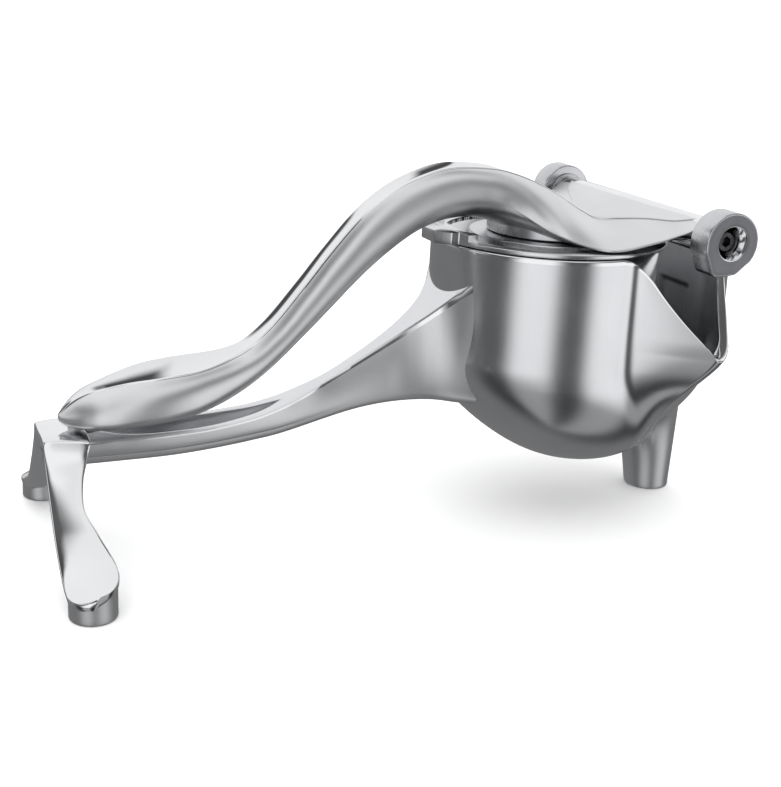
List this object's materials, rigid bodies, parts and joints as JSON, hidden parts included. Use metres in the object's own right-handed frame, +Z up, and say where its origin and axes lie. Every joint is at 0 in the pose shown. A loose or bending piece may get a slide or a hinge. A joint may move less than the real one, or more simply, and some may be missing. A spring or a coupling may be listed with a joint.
{
  "type": "citrus press",
  "caption": "Hand press for citrus fruit: cast cup with pouring beaks on splayed legs, a lift-out strainer and a hinged lever with a pressing dome.",
  "frame": {"origin": "on the ground under the middle of the press's bounding box", "axes": "+X from the handle towards the hinge, +Y along the hinge to the far ear, +Z up"},
  "size_m": [0.2352, 0.1148, 0.1222],
  "materials": {
    "satin_aluminium": "satin polished casting",
    "polished_aluminium": "mirror polished casting",
    "strainer_aluminium": "satin",
    "head_aluminium": "satin",
    "screw_steel": "machined",
    "rod_steel": "ground",
    "washer_steel": "plain"
  },
  "bodies": {
    "body": {"body_casting": "satin_aluminium", "strainer_insert": "strainer_aluminium", "pivot_rod": "rod_steel", "pivot_screw_near": "screw_steel", "pivot_screw_far": "screw_steel", "washer_near": "washer_steel", "washer_far": "washer_steel"},
    "lever": {"lever_casting": "polished_aluminium", "press_head": "head_aluminium", "press_head_screw": "screw_steel"}
  },
  "joints": [
    {"name": "lever_hinge", "type": "hinge", "parent": "body", "child": "lever", "pos_m": [0.0914, 0, 0.1049], "axis": [0, 1, 0], "range_deg": [0, 110]}
  ]
}
